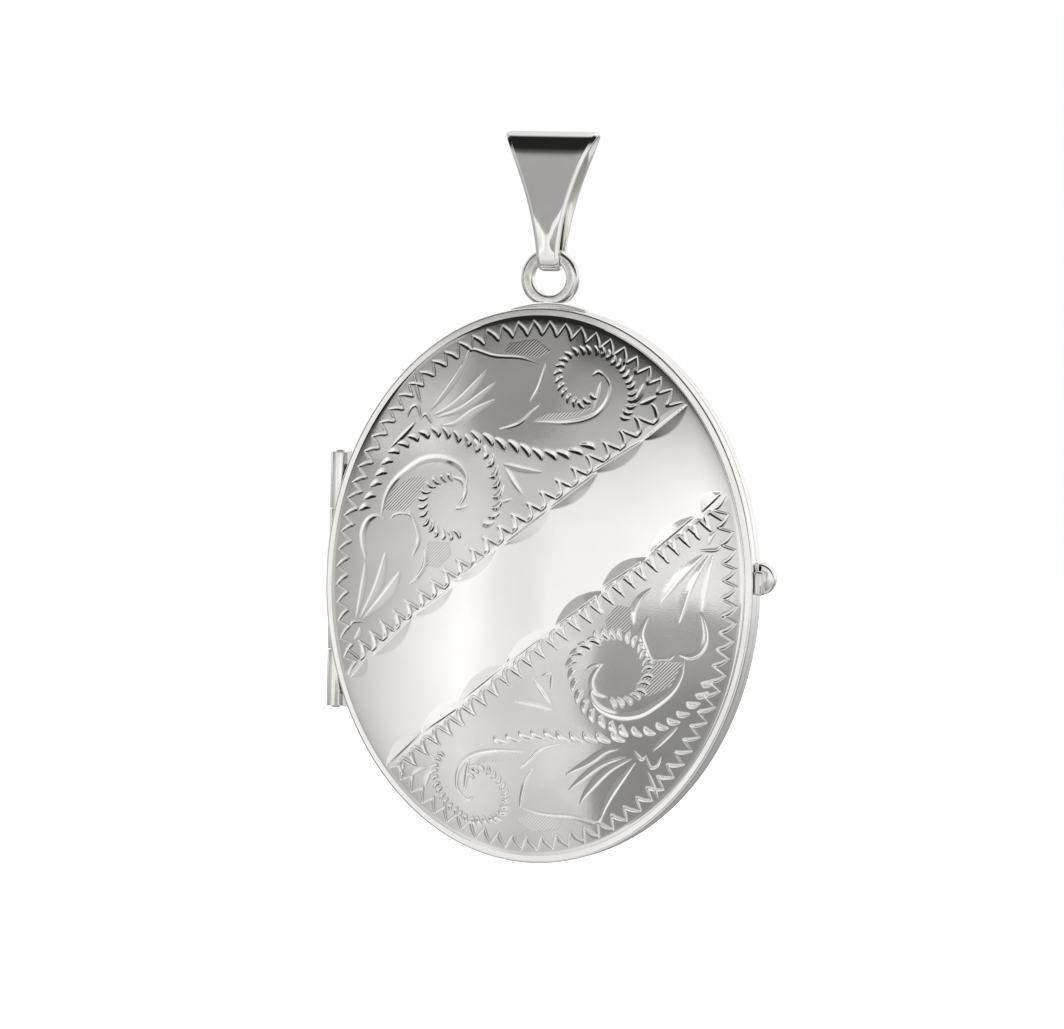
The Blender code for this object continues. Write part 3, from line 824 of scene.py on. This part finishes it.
def bail(material):
    """The strip: flat at the top, crowned towards its narrow end, with bevelled outer edges."""
    path = bail_path()
    way = np.roll(path, -1, 0) - np.roll(path, 1, 0)
    way /= np.linalg.norm(way, axis=1, keepdims=True)
    out = np.stack([way[:, 1], -way[:, 0]], 1)
    bottom = -BAIL_LOOP - BAIL_SHEET / 2
    top = BAIL_TOP - PIVOT_HEIGHT
    half_sheet = BAIL_SHEET / 2
    rings = []
    for (y, z), (out_y, out_z) in zip(path, out):
        share = min(1.0, max(0.0, (z - bottom) / (top - bottom)))
        half = BAIL_NARROW + BAIL_FLARE * share**BAIL_FLARE_POWER
        across, down = BAIL_BEVEL
        face = half - across
        crown = BAIL_CROWN * min(1.0, max(0.0, z)) * max(0.0, 1 - 2 * share)
        corners = [
            (-half, -half_sheet),
            (half, -half_sheet),
            (half, half_sheet - down),
            *[(face * part, half_sheet + crown * (1 - part**2)) for part in BAIL_FACE],
            (-half, half_sheet - down),
        ]
        radii = [0.04, 0.04, 0.05, 0.1] + [0] * (len(BAIL_FACE) - 2) + [0.1, 0.05]
        section = rounded(corners, radii, 3)
        rings.append(
            np.stack(
                [
                    section[:, 0],
                    y + out_y * section[:, 1],
                    CENTRE_Z + PIVOT_HEIGHT + z + out_z * section[:, 1],
                ],
                1,
            )
        )
    place(loft("bail", rings, True), "bail", material)


# Materials


class Nodes:
    """A material's node tree, with short ways to add to it."""

    def __init__(self, name):
        self.material = bpy.data.materials.new(name)
        self.material.use_nodes = True
        self.tree = self.material.node_tree
        self.shader = self.tree.nodes["Principled BSDF"]

    def add(self, kind, inputs=(), **settings):
        node = self.tree.nodes.new(kind)
        for key, value in settings.items():
            setattr(node, key, value)
        for key, value in dict(inputs).items():
            self.put(node.inputs[key], value)
        return node

    def put(self, socket, value):
        if isinstance(value, bpy.types.NodeSocket):
            self.tree.links.new(value, socket)
        else:
            socket.default_value = value

    def noise(self, scale, detail=3.0, stretch=(1, 1, 1), distortion=0.0):
        """A noise from 0 to 1 in the piece's own coordinates, in metres."""
        place_at = self.add("ShaderNodeTexCoord").outputs["Object"]
        mapped = self.add("ShaderNodeMapping", {"Vector": place_at, "Scale": stretch})
        settings = {
            "Vector": mapped.outputs[0],
            "Scale": scale,
            "Detail": detail,
            "Distortion": distortion,
        }
        return self.add("ShaderNodeTexNoise", settings).outputs["Fac"]

    def spread(self, value, low, high, start=0.35, end=0.65):
        limits = {"Value": value, "From Min": start, "From Max": end, "To Min": low, "To Max": high}
        return self.add("ShaderNodeMapRange", limits).outputs["Result"]

    def blend(self, share, first, second):
        node = self.add("ShaderNodeMix", data_type="RGBA")
        self.put(node.inputs["Factor"], share)
        self.put(node.inputs[6], first)
        self.put(node.inputs[7], second)
        return node.outputs[2]

    def combine(self, first, second, operation="ADD"):
        node = self.add("ShaderNodeMath", operation=operation)
        self.put(node.inputs[0], first)
        self.put(node.inputs[1], second)
        return node.outputs[0]

    def bump(self, height, distance):
        inputs = {"Height": height, "Distance": distance}
        self.put(self.shader.inputs["Normal"], self.add("ShaderNodeBump", inputs).outputs[0])


def silver(name, colour, dull, rough, streaks, depth):
    """Silver with a cloudy film, uneven polish and fine marks along one direction."""
    nodes = Nodes(name)
    cloud = nodes.noise(260, 4, distortion=0.6)
    marks = nodes.noise(1, 4, streaks)
    tint = nodes.blend(nodes.spread(cloud, 0, 1), (*colour, 1), (*dull, 1))
    nodes.put(nodes.shader.inputs["Base Color"], tint)
    polish = nodes.spread(cloud, rough[0], rough[1])
    fine = nodes.spread(marks, 0, (rough[1] - rough[0]) * 0.6, 0.45, 0.7)
    nodes.put(nodes.shader.inputs["Roughness"], nodes.combine(polish, fine))
    nodes.shader.inputs["Metallic"].default_value = 1.0
    nodes.bump(marks, depth * MM)
    return nodes.material


def engraved_silver():
    """The front cover: a mirror band, bright cuts, and a matted ground in the engraved areas."""
    nodes = Nodes("engraved_silver")
    cloud = nodes.noise(220, 4, distortion=0.6)
    marks = nodes.noise(1, 5, (900, 900, 4500))
    grain = nodes.noise(9000, 2)
    ground = nodes.add("ShaderNodeAttribute", attribute_name="ground").outputs["Fac"]
    hatch = nodes.add("ShaderNodeAttribute", attribute_name="hatch").outputs["Fac"]
    bright = nodes.blend(nodes.spread(cloud, 0, 1), (0.955, 0.945, 0.925, 1), (0.935, 0.92, 0.89, 1))
    matted = nodes.blend(nodes.spread(cloud, 0, 1), (0.74, 0.732, 0.72, 1), (0.68, 0.672, 0.655, 1))
    nodes.put(nodes.shader.inputs["Base Color"], nodes.blend(ground, bright, matted))
    polish = nodes.spread(cloud, 0.045, 0.085)
    satin = nodes.combine(nodes.spread(grain, 0.05, 0.11), ground, "MULTIPLY")
    nodes.put(nodes.shader.inputs["Roughness"], nodes.combine(polish, satin))
    nodes.shader.inputs["Metallic"].default_value = 1.0
    place_at = nodes.add("ShaderNodeTexCoord").outputs["Object"]
    turned_to = nodes.add(
        "ShaderNodeMapping", {"Vector": place_at, "Rotation": (0, math.radians(-45), 0)}
    ).outputs[0]
    wave = nodes.add(
        "ShaderNodeTexWave",
        {"Vector": turned_to, "Scale": 2 * math.pi / (20 * HATCH_PITCH * MM), "Distortion": 0.3},
        bands_direction="X",
    ).outputs["Fac"]
    lines = nodes.combine(nodes.combine(wave, hatch, "MULTIPLY"), 3.0, "MULTIPLY")
    fine = nodes.combine(nodes.combine(grain, ground, "MULTIPLY"), 0.5, "MULTIPLY")
    relief = nodes.combine(nodes.combine(lines, fine), nodes.combine(marks, 0.12, "MULTIPLY"))
    nodes.bump(relief, 0.004 * MM)
    return nodes.material


def clear_sheet():
    nodes = Nodes("clear_acetate")
    smear = nodes.noise(300, 3, distortion=1.0)
    nodes.put(nodes.shader.inputs["Base Color"], (0.97, 0.98, 0.98, 1))
    nodes.put(nodes.shader.inputs["Roughness"], nodes.spread(smear, 0.02, 0.09))
    nodes.put(nodes.shader.inputs["Transmission Weight"], 1.0)
    nodes.put(nodes.shader.inputs["IOR"], 1.47)
    nodes.put(nodes.shader.inputs["Alpha"], 0.2)
    nodes.bump(smear, 0.002 * MM)
    return nodes.material


def ivory_card():
    nodes = Nodes("ivory_card")
    fibre = nodes.noise(1, 5, (2500, 2500, 900), 1.5)
    cloud = nodes.noise(180, 3)
    tint = nodes.blend(nodes.spread(cloud, 0, 1), (0.90, 0.87, 0.80, 1), (0.875, 0.845, 0.77, 1))
    nodes.put(nodes.shader.inputs["Base Color"], tint)
    nodes.put(nodes.shader.inputs["Roughness"], nodes.spread(fibre, 0.75, 0.9))
    nodes.bump(fibre, 0.01 * MM)
    return nodes.material


rim_silver = silver(
    "rim_silver", (0.95, 0.94, 0.925), (0.92, 0.905, 0.88), (0.13, 0.21), (250, 9000, 250), 0.004
)
plain_silver = silver(
    "plain_silver", (0.95, 0.94, 0.925), (0.92, 0.91, 0.885), (0.05, 0.10), (1500, 1500, 400), 0.0012
)
hinge_silver = silver(
    "hinge_silver", (0.93, 0.92, 0.90), (0.86, 0.845, 0.82), (0.12, 0.20), (500, 500, 6000), 0.003
)
satin_silver = silver(
    "satin_silver", (0.86, 0.85, 0.83), (0.76, 0.745, 0.72), (0.28, 0.42), (2500, 2500, 2500), 0.006
)
pin_steel = silver(
    "pin_steel", (0.72, 0.71, 0.69), (0.60, 0.59, 0.57), (0.22, 0.34), (7000, 7000, 700), 0.003
)
cast_silver = silver(
    "cast_silver", (0.92, 0.91, 0.89), (0.80, 0.79, 0.765), (0.18, 0.30), (1400, 1400, 1400), 0.02
)
tab_silver = silver(
    "tab_silver", (0.74, 0.73, 0.72), (0.62, 0.61, 0.60), (0.10, 0.18), (1500, 1500, 1500), 0.006
)
inside_silver = silver(
    "frame_silver", (0.93, 0.92, 0.90), (0.88, 0.87, 0.84), (0.08, 0.16), (600, 3000, 600), 0.002
)

cover("front", engraved_silver(), FRONT_GRID, True)
cover("back", plain_silver, BACK_GRID, False)
for name in ("front", "back"):
    rim(name, rim_silver)
    picture_holder(name, satin_silver, inside_silver, clear_sheet(), ivory_card())
lip(satin_silver)
hinge(hinge_silver, pin_steel)
tabs(tab_silver, rim_silver)
ring_and_saddle(cast_silver)
bail(plain_silver)
for name in frame["nodes"]:
    if "bearer" in name:
        bearer_mesh = frame["nodes"][name].data
        bearer_mesh.materials.clear()
        bearer_mesh.materials.append(satin_silver)


# The studio


def stage_plane(name, centre, size, facing, colour, glow=0.0):
    """A flat card, its face towards the given direction."""
    half_x, half_y = size[0] / 2, size[1] / 2
    corners = [
        (-half_x, -half_y, 0),
        (half_x, -half_y, 0),
        (half_x, half_y, 0),
        (-half_x, half_y, 0),
    ]
    mesh = bpy.data.meshes.new(name)
    mesh.from_pydata(corners, [], [(0, 1, 2, 3)])
    obj = link(name, mesh)
    turn = Vector(facing).to_track_quat("Z", "Y").to_matrix().to_4x4()
    obj.matrix_world = Matrix.Translation(centre) @ turn
    nodes = Nodes(name)
    nodes.put(nodes.shader.inputs["Base Color"], (*colour, 1))
    nodes.put(nodes.shader.inputs["Roughness"], 0.9)
    nodes.put(nodes.shader.inputs["Emission Color"], (*colour, 1))
    nodes.put(nodes.shader.inputs["Emission Strength"], glow)
    mesh.materials.append(nodes.material)
    return obj


def flag(name, centre, size, colour):
    """A card beside the camera that only shows as a reflection in the metal."""
    obj = stage_plane(name, centre, size, (0, 1, 0), colour)
    obj.visible_camera = False
    obj.visible_shadow = False
    obj.visible_diffuse = False
    return obj


def softbox(name, place_at, size, energy):
    """A soft rectangular light that faces the locket."""
    light = bpy.data.lights.new(name, "AREA")
    light.shape = "RECTANGLE"
    light.size, light.size_y = size
    light.energy = energy
    obj = bpy.data.objects.new(name, light)
    bpy.context.scene.collection.objects.link(obj)
    aim = Vector((0, 0, -0.03)) - Vector(place_at)
    turn = aim.to_track_quat("-Z", "Y").to_matrix().to_4x4()
    obj.matrix_world = Matrix.Translation(place_at) @ turn
    return obj


def surroundings():
    """A white room for the camera; the metal sees white walls under a darker ceiling."""
    world = bpy.data.worlds.new("studio")
    bpy.context.scene.world = world
    world.use_nodes = True
    tree = world.node_tree
    tree.nodes.clear()

    def add(kind, **settings):
        node = tree.nodes.new(kind)
        for key, value in settings.items():
            setattr(node, key, value)
        return node

    def ramp(source, stops):
        node = add("ShaderNodeValToRGB")
        tree.links.new(source, node.inputs["Fac"])
        elements = node.color_ramp.elements
        for element, (position, grey) in zip([elements[0], elements[1]], (stops[0], stops[-1])):
            element.position = position
            element.color = (grey, grey, grey, 1)
        for position, grey in stops[1:-1]:
            element = elements.new(position)
            element.color = (grey, grey, grey, 1)
        return node.outputs["Color"]

    def arithmetic(operation, *values):
        node = add("ShaderNodeMath", operation=operation)
        for socket, value in zip(node.inputs, values):
            if isinstance(value, bpy.types.NodeSocket):
                tree.links.new(value, socket)
            else:
                socket.default_value = value
        return node.outputs[0]

    direction = add("ShaderNodeSeparateXYZ")
    tree.links.new(add("ShaderNodeTexCoord").outputs["Generated"], direction.inputs[0])
    forward = arithmetic("MULTIPLY", direction.outputs["Y"], -1.0)
    turn = arithmetic("ARCTAN2", direction.outputs["Z"], forward)
    over = ramp(
        arithmetic("MULTIPLY_ADD", turn, 0.5 / math.pi, 0.5),
        [(0.5 + degrees / 360, grey) for degrees, grey in ROOM_OVER],
    )
    across = ramp(
        arithmetic("MULTIPLY_ADD", direction.outputs["X"], 0.5, 0.5),
        [(0.5 + share / 2, grey) for share, grey in ROOM_ACROSS],
    )
    both = add("ShaderNodeMix", data_type="RGBA", blend_type="MULTIPLY")
    both.inputs["Factor"].default_value = 1.0
    tree.links.new(over, both.inputs[6])
    tree.links.new(across, both.inputs[7])
    seen = add("ShaderNodeMix", data_type="RGBA")
    tree.links.new(add("ShaderNodeLightPath").outputs["Is Camera Ray"], seen.inputs["Factor"])
    tree.links.new(both.outputs[2], seen.inputs[6])
    seen.inputs[7].default_value = (1, 1, 1, 1)
    background = add("ShaderNodeBackground")
    tree.links.new(seen.outputs[2], background.inputs["Color"])
    output = add("ShaderNodeOutputWorld")
    tree.links.new(background.outputs[0], output.inputs["Surface"])


def camera():
    a, e = CAMERA_AZIMUTH, CAMERA_ELEVATION
    view = Vector((-math.sin(a) * math.cos(e), math.cos(a) * math.cos(e), -math.sin(e)))
    right = Vector((math.cos(a), math.sin(a), 0))
    up = right.cross(view)
    lean = Matrix.Rotation(-HANG_ANGLE, 3, view)
    right, up = lean @ right, lean @ up
    body = Vector((CENTRE_X, SEAM_Y, CENTRE_Z)) * MM
    target = body - right * BODY_RIGHT_OF_MIDDLE * MM + up * BODY_BELOW_MIDDLE * MM
    data = bpy.data.cameras.new("camera")
    data.sensor_width = 36
    data.lens = 36 * CAMERA_DISTANCE / (VIEW_WIDTH * MM)
    data.clip_start = 0.01
    obj = bpy.data.objects.new("camera", data)
    bpy.context.scene.collection.objects.link(obj)
    turn = Matrix((right, up, -view)).transposed().to_4x4()
    obj.matrix_world = Matrix.Translation(target - view * CAMERA_DISTANCE) @ turn
    bpy.context.scene.camera = obj


surroundings()
floor = stage_plane("floor", (0, 0, -0.16), (6, 6), (0, 0, 1), (0.93, 0.93, 0.93), 1.0)
floor.visible_glossy = False
flag("flag_near", (-0.018, -0.05, 0.004), (0.024, 0.029), (0.34, 0.34, 0.34))
flag("flag_low", (0.17, -0.50, -0.265), (0.40, 0.38), (0.37, 0.37, 0.37))
softbox("softbox_high", (-0.75, -0.80, 0.42), (0.45, 0.45), 0.28)
softbox("softbox_left", (-0.9, 0.25, 0.1), (0.4, 0.8), 0.5)
softbox("softbox_right", (0.9, 0.1, 0.1), (0.4, 0.8), 0.5)
camera()
bpy.context.scene.view_settings.view_transform = "Standard"
